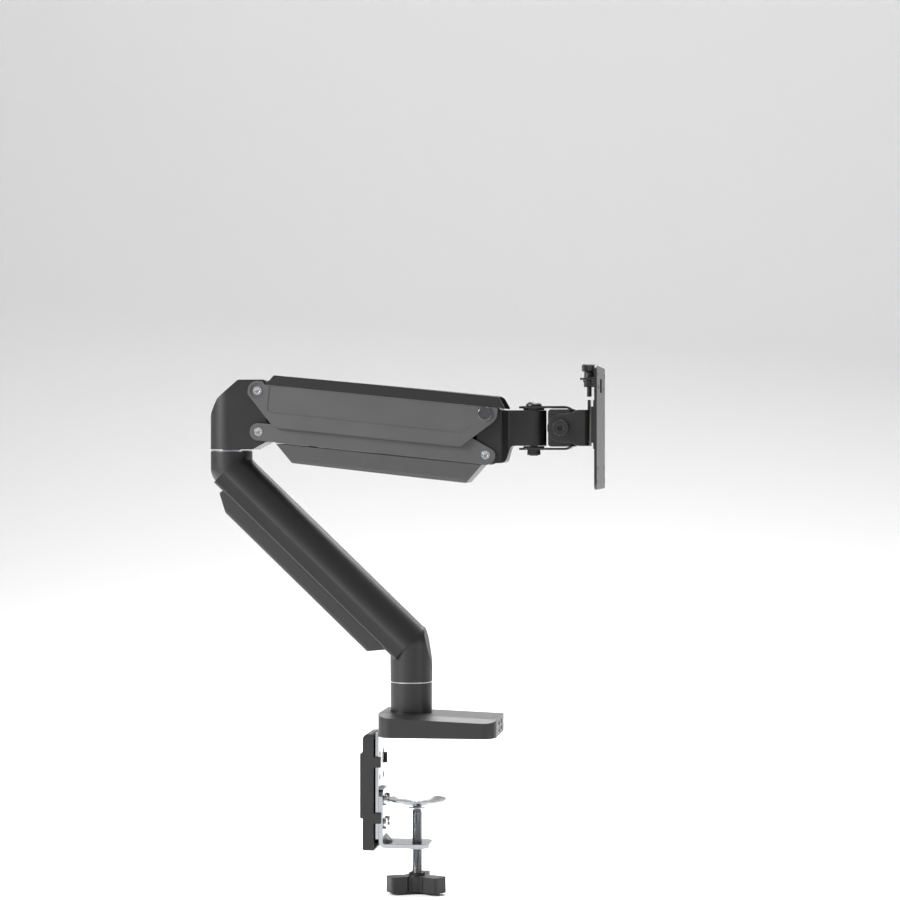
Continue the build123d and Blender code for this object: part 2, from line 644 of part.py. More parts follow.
hub = hub - block(
    PIVOT_X - EYE_ROOM, HUB_FRONT + 1, -8.5, 8.5, SPRING_PIVOT_Z - EYE_ROOM, SPRING_PIVOT_Z + EYE_ROOM
)
hub = hub - crossbar(PIN_RADIUS, PIVOT_X, PIVOT_Z, -40, 40)
hub = hub - crossbar(PIN_RADIUS, PIVOT_X, LOWER_PIVOT_Z, -40, 40)
hub = hub - crossbar(SPRING_PIN_RADIUS, PIVOT_X, SPRING_PIVOT_Z, -18.1, 18.1)
save("elbow_hub", hub)

# ---- parallel links -----------------------------------------------------
LOWER_INNER = HUB_HALF_WIDTH + LINK_GAP
LOWER_OUTER = LOWER_INNER + LOWER_WALL
UPPER_INNER = LOWER_OUTER + LINK_GAP
UPPER_OUTER = UPPER_INNER + UPPER_WALL
FRONT_X = PIVOT_X + LINK_LENGTH * cos(radians(LINK_DROP))
FRONT_Z = PIVOT_Z - LINK_LENGTH * sin(radians(LINK_DROP))
FRONT_LOWER_Z = FRONT_Z - PIVOT_SPACING
PIN_RUN = PIN_RADIUS + RUN_FIT


def socket_pin(x, z, length):
    """A pivot pin along Y with a hexagon socket in each end."""
    pin = crossbar(PIN_RADIUS, x, z, -length, length)
    for side in (-1, 1):
        pin = pin - Pos(x, side * length, z) * Rot(90, 0, 0) * hexagon(4.0, 7.0)
    return pin


LOWER_PIN_HALF = LOWER_OUTER + LINK_GAP / 3
rear_pins = [
    socket_pin(PIVOT_X, PIVOT_Z, UPPER_OUTER - 0.2),
    socket_pin(PIVOT_X, LOWER_PIVOT_Z, LOWER_PIN_HALF),
]
save("rear_pins", *rear_pins)
save("spring_rear_pin", crossbar(SPRING_PIN_RADIUS, PIVOT_X, SPRING_PIVOT_Z, -18, 18))


def on_upper_link(part):
    """Places a part drawn along +X from the upper rear pivot."""
    return Pos(PIVOT_X, 0, PIVOT_Z) * Rot(0, LINK_DROP, 0) * part


def on_lower_link(part):
    """Places a part drawn along +X from the lower rear pivot."""
    return Pos(PIVOT_X, 0, LOWER_PIVOT_Z) * Rot(0, LINK_DROP, 0) * part


WALL_TOP = 6.4
WALL_BOTTOM = -33.4
WEB_THICK = 2.5
WEB_START = 14.0
WEB_BOTTOM = WALL_TOP - WEB_THICK
L = LINK_LENGTH
wall_shape = outline(
    [
        (3.0, 9.2, 0.5),
        (-9.5, 9.2, 9.0),
        (-9.5, -4.0, 5.0),
        (19.0, WALL_BOTTOM, 6.0),
        (L - 20, WALL_BOTTOM, 5.0),
        (L + 11.5, -4.5, 9.5),
        (L + 11.5, WALL_TOP, 2.0),
        (5.2, WALL_TOP, 0),
    ]
)
wall = along_y(wall_shape, UPPER_INNER, UPPER_OUTER)
panel = outline(
    [(11, WALL_TOP - 0.8, 1.0), (11, -19.5, 5.0), (L - 22, -20.5, 4.0), (L - 12, -13, 4.0), (L - 12, WALL_TOP - 0.8, 1.0)]
)
wall = wall - along_y(panel, UPPER_OUTER - 0.5, UPPER_OUTER + 1)
wall = wall - crossbar(7.0, 0, 0, UPPER_OUTER - 0.8, UPPER_OUTER + 1)
wall = wall - crossbar(PIN_RUN, 0, 0, 0, 40) - crossbar(PIN_RUN, L, 0, 0, 40)
web = block(WEB_START, L - 14, -UPPER_INNER, UPPER_INNER, WEB_BOTTOM, WALL_TOP)
SPRING_FRONT_U = 180.0
SPRING_FRONT_V = -12.0
SPRING_PIN_HALF = UPPER_INNER + 1.8
spring_hole = crossbar(
    SPRING_PIN_RADIUS, SPRING_FRONT_U, SPRING_FRONT_V, -SPRING_PIN_HALF - 0.1, SPRING_PIN_HALF + 0.1
)
upper_link = both_sides(wall) + web - spring_hole
for u in (40.0, L - 25.0):
    upper_link = upper_link - post(1.5, 0, 20, u)
save("upper_link", on_upper_link(upper_link))

COVER_REAR_TOP = 16.0
COVER_FRONT_TOP = 17.8
COVER_SKIN = 2.2
COVER_LOW = WALL_TOP + 0.1
lid_shape = outline(
    [
        (5.5, COVER_LOW, 0),
        (L + 17.5, COVER_LOW, 0.5),
        (L + 17.5, 8.0, 2.0),
        (L + 10.5, COVER_FRONT_TOP, 7.0),
        (14, COVER_REAR_TOP, 1.5),
        (10.5, COVER_REAR_TOP - 5, 3.0),
    ]
)
lid = along_y(lid_shape, -UPPER_OUTER, UPPER_OUTER)
lid_top = COVER_FRONT_TOP + 1
lid_section = outline(
    [
        (-UPPER_OUTER, 0, 0),
        (UPPER_OUTER, 0, 0),
        (UPPER_OUTER, COVER_FRONT_TOP, 3.0),
        (-UPPER_OUTER, COVER_FRONT_TOP, 3.0),
    ]
)
lid = lid & along_x(lid_section, 0, L + 30)
room = outline(
    [
        (0, 0, 0),
        (L + 13.5, 0, 0),
        (L + 13.5, COVER_FRONT_TOP - COVER_SKIN - 5, 0),
        (L + 6.5, COVER_FRONT_TOP - COVER_SKIN, 0),
        (14, COVER_REAR_TOP - COVER_SKIN, 0),
        (0, COVER_REAR_TOP - COVER_SKIN - 3, 0),
    ]
)
lid = lid - along_y(room, -UPPER_INNER, UPPER_INNER)
lid = lid - block(0, WEB_START, -UPPER_INNER + 0.5, UPPER_INNER - 0.5, 0, lid_top - 4.5)
lid = lid - block(L + 7, L + 30, -UPPER_INNER + 0.5, UPPER_INNER - 0.5, 0, lid_top + 1)
for u in (40.0, L - 25.0):
    lid = lid + post(4.0, WALL_TOP, COVER_REAR_TOP - 1, u) - post(1.5, 0, COVER_REAR_TOP - 1.5, u)
save("top_cover", on_upper_link(lid.solids().sort_by(SortBy.VOLUME)[-1]))
save(
    "top_cover_screws",
    *[
        on_upper_link(post(1.5, WEB_BOTTOM - 0.2, COVER_REAR_TOP - 2, u) + post(2.8, WEB_BOTTOM - 2, WEB_BOTTOM, u))
        for u in (40.0, L - 25.0)
    ],
)

low_wall = outline(
    [
        (-8.3, 8.3, 8.2),
        (-8.3, -8.3, 8.2),
        (L - 8, -9.4, 6.0),
        (L + 9.5, -9.4, 9.3),
        (L + 9.5, 4.0, 6.0),
        (L - 13, 14.2, 6.0),
        (L - 30, 14.2, 8.0),
        (L - 50, 9.0, 10.0),
        (45, 9.0, 10.0),
        (20, 8.3, 6.0),
    ]
)
low = along_y(low_wall, LOWER_INNER, LOWER_OUTER)
low = low - crossbar(PIN_RUN, 0, 0, 0, 40) - crossbar(PIN_RUN, L, 0, 0, 40)
sole = block(17, L - 14, -LOWER_OUTER, LOWER_OUTER, -8.4, -6.2)
lower_link = both_sides(low) + sole
save("lower_link", on_lower_link(lower_link))

GUARD_BOTTOM = -28.0
guard_side = outline(
    [(18, -9.6, 0), (35, GUARD_BOTTOM + 1.5, 2.0), (L - 16, GUARD_BOTTOM - 0.5, 3.0), (L - 2.8, -9.8, 0)]
)
guard_section = outline(
    [
        (-LOWER_OUTER + 2, GUARD_BOTTOM - 0.5, 5.0),
        (LOWER_OUTER - 2, GUARD_BOTTOM - 0.5, 5.0),
        (LOWER_OUTER, -9.6, 0),
        (-LOWER_OUTER, -9.6, 0),
    ]
)
guard = along_y(guard_side, -30, 30) & along_x(guard_section, 0, L + 10)
guard_room = outline([(22, -8, 0), (37, GUARD_BOTTOM + 4, 2.0), (L - 18, GUARD_BOTTOM + 2, 2.0), (L - 7, -8, 0)])
guard = guard - along_y(guard_room, -LOWER_OUTER + 2.6, LOWER_OUTER - 2.6)
for u in (50.0, L - 40.0):
    guard = guard + post(4.0, GUARD_BOTTOM + 1, -8.4, u)
save("arm_cable_cover", on_lower_link(guard))

# ---- gas spring ---------------------------------------------------------
EYE_LIFT = 1.9
eye_u = SPRING_SEAT * sin(radians(LINK_DROP))
eye_v = -SPRING_SEAT * cos(radians(LINK_DROP)) + EYE_LIFT
SPRING_SPAN = hypot(SPRING_FRONT_U - eye_u, SPRING_FRONT_V - eye_v)
SPRING_TILT = degrees(atan2(SPRING_FRONT_V - eye_v, SPRING_FRONT_U - eye_u))
BODY_END = 66.0  # from the rear eye
BODY_FRONT = SPRING_SPAN - 12.0
BORE_RADIUS = CYLINDER_RADIUS - 2.0


def on_spring(part):
    """Places a part drawn along +X from the spring's rear eye."""
    return on_upper_link(Pos(eye_u, 0, eye_v) * Rot(0, -SPRING_TILT, 0) * part)


body = shaft(CYLINDER_RADIUS, BODY_END, BODY_FRONT, 0, 0)
body = body - shaft(BORE_RADIUS, BODY_END + 6, BODY_FRONT - 4, 0, 0)
body = body - shaft(ROD_RADIUS + RUN_FIT, BODY_END - 1, BODY_END + 8, 0, 0)
tail = shaft(5.0, BODY_FRONT, SPRING_SPAN - 5, 0, 0) + crossbar(8.0, SPRING_SPAN, 0, -6, 6)
tail = tail - crossbar(SPRING_PIN_RADIUS, SPRING_SPAN, 0, -10, 10)
save("gas_cylinder", on_spring(body + tail))
save(
    "spring_front_pin",
    on_upper_link(crossbar(SPRING_PIN_RADIUS, SPRING_FRONT_U, SPRING_FRONT_V, -SPRING_PIN_HALF, SPRING_PIN_HALF)),
)
save(
    "spring_spacers",
    on_upper_link(
        both_sides(
            crossbar(6.0, SPRING_FRONT_U, SPRING_FRONT_V, 6.0, LOWER_INNER - 0.6)
            - crossbar(SPRING_PIN_RADIUS, SPRING_FRONT_U, SPRING_FRONT_V, 0, 40)
        )
    ),
)
eye = crossbar(EYE_RADIUS, 0, 0, -6, 6)
rod = eye + shaft(ROD_RADIUS, EYE_RADIUS - 1.5, BODY_END + 30, 0, 0) - crossbar(EYE_BORE, 0, 0, -10, 10)
rod = rod + shaft(BORE_RADIUS - 0.1, BODY_END + 30, BODY_END + 38, 0, 0)
save("gas_rod", on_spring(rod))

# ---- head hub -----------------------------------------------------------
BARREL_X = FRONT_X + BARREL_REACH
BARREL_TOP = FRONT_Z + 3.2
BARREL_BOTTOM = BARREL_TOP - BARREL_HEIGHT
neck_back = FRONT_X - 8.5
head_side = outline(
    [
        (neck_back, FRONT_Z + 8.5, 8.4),
        (FRONT_X + 8, FRONT_Z + 8.5, 7.5),
        (FRONT_X + 15, BARREL_TOP, 3.0),
        (BARREL_X + BARREL_RADIUS, BARREL_TOP, 0),
        (BARREL_X + BARREL_RADIUS, BARREL_BOTTOM, 0),
        (FRONT_X + 23, BARREL_BOTTOM, 4.0),
        (FRONT_X + 18, FRONT_LOWER_Z - 7.5, 5.0),
        (neck_back, FRONT_LOWER_Z - 8.5, 8.4),
    ]
)
head_plan = Pos(BARREL_X, 0) * Circle(BARREL_RADIUS)
head_plan = head_plan + outline(
    [
        (neck_back, -HUB_HALF_WIDTH, 0),
        (FRONT_X + 14.5, -HUB_HALF_WIDTH, 2.0),
        (FRONT_X + 21, -BARREL_RADIUS, 4.0),
        (BARREL_X, -BARREL_RADIUS, 0),
        (BARREL_X, BARREL_RADIUS, 0),
        (FRONT_X + 21, BARREL_RADIUS, 4.0),
        (FRONT_X + 14.5, HUB_HALF_WIDTH, 2.0),
        (neck_back, HUB_HALF_WIDTH, 0),
    ]
)
head = along_y(head_side, -40, 40) & along_z(head_plan, FRONT_LOWER_Z - 20, BARREL_TOP + 20)
head = head - block(neck_back - 1, FRONT_X + 12, -14, 14, FRONT_LOWER_Z - 20, BARREL_TOP + 20)
head = head - crossbar(PIN_RADIUS, FRONT_X, FRONT_Z, -40, 40)
head = head - crossbar(PIN_RADIUS, FRONT_X, FRONT_LOWER_Z, -40, 40)
HEAD_BUSH_RADIUS = PAN_BOLT_RADIUS + 2.0
head = head - post(HEAD_BUSH_RADIUS, BORE_LOW, BORE_HIGH, BARREL_X)
save("head_hub", head)
front_pins = [
    crossbar(PIN_RADIUS, FRONT_X, FRONT_Z, -UPPER_OUTER - 0.3, UPPER_OUTER + 0.3),
    socket_pin(FRONT_X, FRONT_LOWER_Z, LOWER_PIN_HALF),
]
save("front_pins", *front_pins)
save(
    "front_pivot_caps",
    both_sides(crossbar(6.5, FRONT_X, FRONT_Z, UPPER_OUTER + 0.3, UPPER_OUTER + 1.7)),
)
save(
    "pan_bush",
    post(HEAD_BUSH_RADIUS, BARREL_BOTTOM, BARREL_TOP, BARREL_X)
    - post(PAN_BOLT_RADIUS + RUN_FIT, BORE_LOW, BORE_HIGH, BARREL_X),
)

# ---- pan bracket --------------------------------------------------------
TILT_X = BARREL_X + TILT_REACH
TILT_Z = (BARREL_TOP + BARREL_BOTTOM) / 2
PAN_WASHER = 1.6
ARM_GAP = 0.3
PAN_TOP = BARREL_TOP + ARM_GAP + PAN_WASHER
PAN_BOTTOM = BARREL_BOTTOM - ARM_GAP - PAN_WASHER
WEB_X = TILT_X + 12.2
STRAP_HALF = 13.0
strap = along_y(
    outline(
        [
            (BARREL_X - 14, PAN_TOP, 0),
            (WEB_X - BRACKET_SHEET, PAN_TOP, 7.5),
            (WEB_X - BRACKET_SHEET, PAN_BOTTOM, 7.5),
            (BARREL_X - 14, PAN_BOTTOM, 0),
            (BARREL_X - 14, PAN_BOTTOM - BRACKET_SHEET, 0),
            (WEB_X, PAN_BOTTOM - BRACKET_SHEET, 9.5),
            (WEB_X, PAN_TOP + BRACKET_SHEET, 9.5),
            (BARREL_X - 14, PAN_TOP + BRACKET_SHEET, 0),
        ]
    ),
    -STRAP_HALF,
    STRAP_HALF,
)
strap_plan = Pos(BARREL_X, 0) * Circle(14) + Pos((BARREL_X + WEB_X) / 2, 0) * Rectangle(WEB_X - BARREL_X, 2 * STRAP_HALF)
strap = strap & along_z(strap_plan, PAN_BOTTOM - 5, PAN_TOP + 5)
EAR_LOW = TILT_Z - 17.5
EAR_HIGH = TILT_Z + 17.5
ear_plan = outline(
    [
        (TILT_X - 12.5, EAR_HALF_WIDTH - BRACKET_SHEET, 0),
        (WEB_X - BRACKET_SHEET, EAR_HALF_WIDTH - BRACKET_SHEET, 3.0),
        (WEB_X - BRACKET_SHEET, 0, 0),
        (WEB_X, 0, 0),
        (WEB_X, EAR_HALF_WIDTH, 5.0),
        (TILT_X - 12.5, EAR_HALF_WIDTH, 0),
    ]
)
ears = both_sides(along_z(ear_plan, EAR_LOW, EAR_HIGH))
ear_side = rectangle(TILT_X - 12.5, WEB_X + 10, EAR_LOW, EAR_HIGH, 3.0)
ears = ears & along_y(ear_side, -40, 40)
relief = both_sides(block(WEB_X - 3.2, WEB_X + 1, STRAP_HALF, STRAP_HALF + 1.2, EAR_HIGH - 6, EAR_HIGH + 1))
relief = relief + mirror(relief, Plane.XY.offset(TILT_Z))
pan = strap + ears - relief
pan = pan - post(PAN_BOLT_RADIUS, BORE_LOW, BORE_HIGH, BARREL_X) - crossbar(TILT_BOLT_RADIUS, TILT_X, TILT_Z, -40, 40)
save("pan_bracket", pan)
HEAD_LIFT = PAN_TOP + BRACKET_SHEET
NUT_DROP = PAN_BOTTOM - BRACKET_SHEET
pan_bolt = post(PAN_BOLT_RADIUS, NUT_DROP - 5.5, HEAD_LIFT + 0.5, BARREL_X)
dome = Pos(BARREL_X, 0, HEAD_LIFT - 3.6) * Sphere(9.0) & post(7.5, HEAD_LIFT, HEAD_LIFT + 10, BARREL_X)
pan_bolt = pan_bolt + dome - Pos(BARREL_X, 0, HEAD_LIFT + 5.4) * hexagon(4.0, 5.0)
save("pan_bolt", pan_bolt)
nut_body = Pos(BARREL_X, 0, NUT_DROP - 2.4) * hexagon(11.0, 4.8)
save("pan_nut", nut_body - post(PAN_BOLT_RADIUS, BORE_LOW, BORE_HIGH, BARREL_X))
washers = [
    post(10.0, BARREL_TOP + ARM_GAP, PAN_TOP, BARREL_X) - post(PAN_BOLT_RADIUS, BORE_LOW, BORE_HIGH, BARREL_X),
    post(10.0, PAN_BOTTOM, BARREL_BOTTOM - ARM_GAP, BARREL_X) - post(PAN_BOLT_RADIUS, BORE_LOW, BORE_HIGH, BARREL_X),
]
save("pan_washers", *washers)

# ---- tilt bracket -------------------------------------------------------
TILT_WASHER = 0.8
JAW_INNER = EAR_HALF_WIDTH + TILT_WASHER + 0.1
JAW_OUTER = JAW_INNER + BRACKET_SHEET + 0.3
TILT_WEB_X = TILT_X + TILT_WEB_REACH
VESA_X = TILT_X + VESA_REACH
THUMB_X = TILT_X + THUMB_REACH
WEB_BACK = TILT_WEB_X + BRACKET_SHEET
jaw_side = outline(
    [
        (TILT_X - 13, TILT_Z - 13, 12.9),
        (TILT_X + 7, TILT_Z - 13.5, 12.0),
        (TILT_X + 16, TILT_Z - 17, 8.0),
        (WEB_BACK, TILT_Z - 17, 0),
        (WEB_BACK, TILT_Z + 17, 0),
        (TILT_X + 16, TILT_Z + 17, 8.0),
        (TILT_X + 7, TILT_Z + 13.5, 12.0),
        (TILT_X - 13, TILT_Z + 13, 12.9),
    ]
)
jaw_plan = outline(
    [
        (TILT_X - 14, JAW_INNER, 0),
        (TILT_WEB_X, JAW_INNER, 2.0),
        (TILT_WEB_X, -JAW_INNER, 2.0),
        (TILT_X - 14, -JAW_INNER, 0),
        (TILT_X - 14, -JAW_OUTER, 0),
        (WEB_BACK, -JAW_OUTER, 4.3),
        (WEB_BACK, JAW_OUTER, 4.3),
        (TILT_X - 14, JAW_OUTER, 0),
    ]
)
jaw = along_y(jaw_side, -40, 40) & along_z(jaw_plan, TILT_Z - 30, TILT_Z + 30)
TAB_TOP = TILT_Z + 26.5
jaw = jaw + block(TILT_WEB_X, WEB_BACK, -9, 9, TILT_Z, TAB_TOP)
ROTATE_RADIUS = 5.0
jaw = jaw - crossbar(TILT_BOLT_RADIUS + RUN_FIT, TILT_X, TILT_Z, -40, 40)
jaw = jaw - shaft(ROTATE_RADIUS + RUN_FIT, TILT_WEB_X - 5, WEB_BACK + 5, 0, TILT_Z)
save("tilt_bracket", jaw)
tilt_bolt = crossbar(TILT_BOLT_RADIUS, TILT_X, TILT_Z, -JAW_OUTER - 1.0, JAW_OUTER + 6.5)
tilt_bolt = tilt_bolt + crossbar(7.5, TILT_X, TILT_Z, -JAW_OUTER - 5.3, -JAW_OUTER - 0.3)
tilt_bolt = tilt_bolt - Pos(TILT_X, -JAW_OUTER - 5.3, TILT_Z) * Rot(90, 0, 0) * hexagon(5.0, 6.0)
save("tilt_bolt", tilt_bolt)
tilt_nut = Pos(TILT_X, JAW_OUTER + 3.3, TILT_Z) * Rot(90, 0, 0) * hexagon(13.0, 6.0)
save("tilt_nut", tilt_nut - crossbar(TILT_BOLT_RADIUS, TILT_X, TILT_Z, -60, 60))
ear_washer = crossbar(9.0, TILT_X, TILT_Z, EAR_HALF_WIDTH, EAR_HALF_WIDTH + TILT_WASHER)
save("tilt_washers", both_sides(ear_washer - crossbar(TILT_BOLT_RADIUS, TILT_X, TILT_Z, 0, 60)))

# ---- screen mount -------------------------------------------------------
HOOK_X = VESA_X - 3.5
HOOK_THICK = 2.0
HOOK_HALF = 21.0
HOOK_LOW = TILT_Z - 20.0
HOOK_HIGH = TILT_Z + 26.5
hook = along_x(rectangle(-HOOK_HALF, HOOK_HALF, HOOK_LOW, HOOK_HIGH, 3.0), HOOK_X, HOOK_X + HOOK_THICK)
hook = hook - shaft(ROTATE_RADIUS, HOOK_X - 5, HOOK_X + 5, 0, TILT_Z)
save("hook_plate", hook)
RIVET_FACE = TILT_WEB_X - 2.0
rivet = shaft(ROTATE_RADIUS, RIVET_FACE, HOOK_X + HOOK_THICK, 0, TILT_Z)
rivet = rivet + shaft(7.5, RIVET_FACE, TILT_WEB_X - 0.2, 0, TILT_Z)
save("rotate_bolt", rivet - Pos(RIVET_FACE, 0, TILT_Z) * Rot(0, 90, 0) * hexagon(5.0, 4.0))
washer = shaft(14.0, WEB_BACK + ARM_GAP, HOOK_X, 0, TILT_Z) - shaft(ROTATE_RADIUS, WEB_BACK, HOOK_X, 0, TILT_Z)
save("rotate_washer", washer)

VESA_HALF = VESA_SIZE / 2
VESA_HOLE = 2.3
vesa = along_x(rectangle(-VESA_HALF, VESA_HALF, TILT_Z - VESA_HALF, TILT_Z + VESA_HALF, 6.0), VESA_X, VESA_X + VESA_THICK)
for spacing in (75.0, 100.0):
    for y in (-spacing / 2, spacing / 2):
        for z in (-spacing / 2, spacing / 2):
            vesa = vesa - shaft(VESA_HOLE, VESA_X - 1, VESA_X + 5, y, TILT_Z + z)
window = rectangle(-12, 12, TILT_Z + 33, TILT_Z + 46.3, 2.0)
vesa = vesa - along_x(window, VESA_X - 1, VESA_X + 5)
SHELF_Z = TILT_Z + 46.3
shelf = block(VESA_X - 17, VESA_X + 0.5, -10, 10, SHELF_Z - 1.0, SHELF_Z + 1.0)
shelf = shelf & along_z(rectangle(VESA_X - 17, VESA_X + 15, -10, 10, 5.0), SHELF_Z - 2, SHELF_Z + 2)
THREAD_RADIUS = 2.5
rail = outline(
    [
        (HOOK_X - 2.3, HOOK_HALF - 3.0, 0),
        (HOOK_X - 0.3, HOOK_HALF - 3.0, 0),
        (HOOK_X - 0.3, HOOK_HALF + 0.4, 0),
        (VESA_X + 0.5, HOOK_HALF + 0.4, 0),
        (VESA_X + 0.5, HOOK_HALF + 2.4, 0),
        (HOOK_X - 2.3, HOOK_HALF + 2.4, 1.0),
    ]
)
rails = both_sides(along_z(rail, TILT_Z - 14, TILT_Z + 20))
vesa = vesa + shelf + rails - post(THREAD_RADIUS + RUN_FIT, SHELF_Z - 5, SHELF_Z + 5, THUMB_X)
save("vesa_plate", vesa)

thumb = post(THREAD_RADIUS, TAB_TOP + 3.0, SHELF_Z + 6.8, THUMB_X)
knurl = Circle(6.7)
for turn in range(18):
    knurl = knurl + Rot(0, 0, 20 * turn) * Pos(6.6, 0) * Circle(0.6)
thumb = thumb + extrude(Pos(THUMB_X, 0, SHELF_Z + 6.8) * knurl, 7.0) + post(5.0, SHELF_Z + 1.3, SHELF_Z + 6.8, THUMB_X)
save("thumbscrew", thumb)
dome_nut = post(6.0, SHELF_Z - 3.2, SHELF_Z - 1.3, THUMB_X) + Pos(THUMB_X, 0, SHELF_Z - 5.4) * hexagon(9.0, 4.6)
save("lock_nut", dome_nut - post(THREAD_RADIUS, SHELF_Z - 10, SHELF_Z, THUMB_X))
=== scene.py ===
"""Finishes and fine detail of a gas-spring monitor arm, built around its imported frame."""

import json
from math import cos, pi, radians, sin, tau

import bmesh
import bpy
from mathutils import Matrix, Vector


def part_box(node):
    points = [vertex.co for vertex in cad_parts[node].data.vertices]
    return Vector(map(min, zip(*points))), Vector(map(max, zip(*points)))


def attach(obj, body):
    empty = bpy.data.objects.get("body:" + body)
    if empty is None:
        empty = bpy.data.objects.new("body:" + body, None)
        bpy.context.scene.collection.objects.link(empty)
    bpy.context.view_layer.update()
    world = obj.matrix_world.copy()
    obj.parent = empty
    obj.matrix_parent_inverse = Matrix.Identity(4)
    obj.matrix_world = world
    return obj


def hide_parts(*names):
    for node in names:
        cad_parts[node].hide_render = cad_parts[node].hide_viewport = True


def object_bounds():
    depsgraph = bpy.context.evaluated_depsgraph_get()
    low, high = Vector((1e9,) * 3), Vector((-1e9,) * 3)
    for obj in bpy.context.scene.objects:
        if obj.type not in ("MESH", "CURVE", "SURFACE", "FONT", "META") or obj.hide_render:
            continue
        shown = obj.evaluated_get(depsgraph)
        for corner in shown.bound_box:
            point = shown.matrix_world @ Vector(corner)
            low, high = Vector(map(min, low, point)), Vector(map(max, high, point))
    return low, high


bl_info = {
    "name": "Monitor Arm",
    "version": (1, 0, 0),
    "blender": (4, 5, 0),
    "location": "View3D > Sidebar > Monitor Arm",
    "description": "Finishes a clamp-on monitor arm piece by piece",
    "category": "Add Mesh",
}

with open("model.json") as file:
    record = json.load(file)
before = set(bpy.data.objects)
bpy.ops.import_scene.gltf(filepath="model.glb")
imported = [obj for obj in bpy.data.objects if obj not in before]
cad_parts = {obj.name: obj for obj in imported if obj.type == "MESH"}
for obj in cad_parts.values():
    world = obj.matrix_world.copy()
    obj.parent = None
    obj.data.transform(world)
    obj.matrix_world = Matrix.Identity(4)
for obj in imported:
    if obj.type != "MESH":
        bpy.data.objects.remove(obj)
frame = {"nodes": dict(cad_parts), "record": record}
CAD_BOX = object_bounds()
MM = 0.001
NODE_BODY = {
    node: body for body, nodes in frame["record"]["behaviour"]["bodies"].items() for node in nodes
}
NODE_SLOT = {row["node"]: row["material_slot"] for row in frame["record"]["subparts"]}
WELD = 2e-6  # points nearer than this are one point
FLAT_WITHIN = 0.4  # degrees between faces that are merged into one
BEVEL_FROM = 38.0  # degrees between faces whose edge is rounded
BEVEL_STEPS = 3
SHARP_FROM = 32.0  # degrees between faces whose edge stays crisp


# ---- settings -------------------------------------------------------------
def length(name, description, default):
    """A length property shown in the scene's units."""
    return bpy.props.FloatProperty(
        name=name, description=description, default=default, min=0.0, unit="LENGTH"
    )


def shade(name, description, default):
    """A colour property given as an sRGB hex value."""
    return bpy.props.StringProperty(name=name, description=description, default=default)


class ARM_PG_edges(bpy.types.PropertyGroup):
    """How far each kind of edge is rounded."""

    casting: length("Casting edge", "Radius left on the edges of cast pieces", 1.1 * MM)
    moulding: length("Moulding edge", "Radius left on the edges of moulded covers", 0.7 * MM)
    pressing: length("Pressing edge", "Radius left on the edges of pressed steel", 0.35 * MM)
    turning: length("Turned edge", "Radius left on the edges of bolts and caps", 0.3 * MM)


class ARM_PG_screw(bpy.types.PropertyGroup):
    """The clamp screw's thread and the thumbscrew's grip."""

    pitch: length("Pitch", "Distance from one thread to the next", 1.5 * MM)
    depth: length("Thread depth", "How deep the thread is cut", 0.75 * MM)
    ridges: bpy.props.IntProperty(
        name="Ridges", description="Ridges round the thumbscrew", default=30, min=8
    )


class ARM_PG_colours(bpy.types.PropertyGroup):
    """Colours of the finishes."""

    coat: shade("Powder coat", "Colour of the black castings", "#141415")
    link_coat: shade("Link coat", "Colour of the links' side walls", "#434344")
    moulding: shade("Moulded plastic", "Colour of the black covers", "#0B0B0C")
    guard: shade("Cable cover", "Colour of the cover under the links", "#303031")
    oxide: shade("Blackened steel", "Colour of the head brackets and bolts", "#121213")
    chrome: shade("Chrome", "Colour of the clamp's plating", "#909295")
    zinc: shade("Zinc", "Colour of the screws", "#D3D5D8")
    floor: shade("Floor", "Colour of the floor and the backdrop", "#FFFFFF")


# ---- materials ------------------------------------------------------------
def linear(text):
    """An sRGB hex value as linear RGBA."""
    parts = [int(text[i : i + 2], 16) / 255 for i in (1, 3, 5)]
    parts = [p / 12.92 if p <= 0.04045 else ((p + 0.055) / 1.055) ** 2.4 for p in parts]
    return (*parts, 1.0)


def add_node(tree, kind, settings=None, links=None):
    """Adds a node, sets its fields and sockets, and links its inputs."""
    node = tree.nodes.new(kind)
    for name, value in (settings or {}).items():
        if name in node.inputs:
            node.inputs[name].default_value = value
        else:
            setattr(node, name, value)
    for name, source in (links or {}).items():
        tree.links.new(source, node.inputs[name])
    return node


def start_material(name, **settings):
    """A material with its shader, ready for its pattern."""
    material = bpy.data.materials.new(name)
    material.use_nodes = True
    tree = material.node_tree
    tree.nodes.clear()
    shader = add_node(tree, "ShaderNodeBsdfPrincipled", settings)
    output = add_node(tree, "ShaderNodeOutputMaterial")
    tree.links.new(shader.outputs["BSDF"], output.inputs["Surface"])
    place = add_node(tree, "ShaderNodeTexCoord")
    return material, tree, shader, place.outputs["Object"]


def per_metre(spacing_mm):
    """The pattern scale that repeats at a spacing in millimetres."""
    return 1.0 / (spacing_mm * MM)


def grain(tree, place, spacing_mm, detail=2.0):
    """A noise pattern with a real spacing."""
    settings = {"Scale": per_metre(spacing_mm), "Detail": detail}
    return add_node(tree, "ShaderNodeTexNoise", settings, {"Vector": place}).outputs["Fac"]


def raise_surface(tree, shader, height, depth_mm, strength=1.0):
    """Bumps the surface by a pattern, to a real depth."""
    settings = {"Strength": strength, "Distance": depth_mm * MM}
    bump = add_node(tree, "ShaderNodeBump", settings, {"Height": height})
    tree.links.new(bump.outputs["Normal"], shader.inputs["Normal"])


def vary(tree, socket, pattern, low, high):
    """Drives a number on the shader between two values by a pattern."""
    settings = {"To Min": low, "To Max": high}
    spread = add_node(tree, "ShaderNodeMapRange", settings, {"Value": pattern})
    tree.links.new(spread.outputs["Result"], socket)


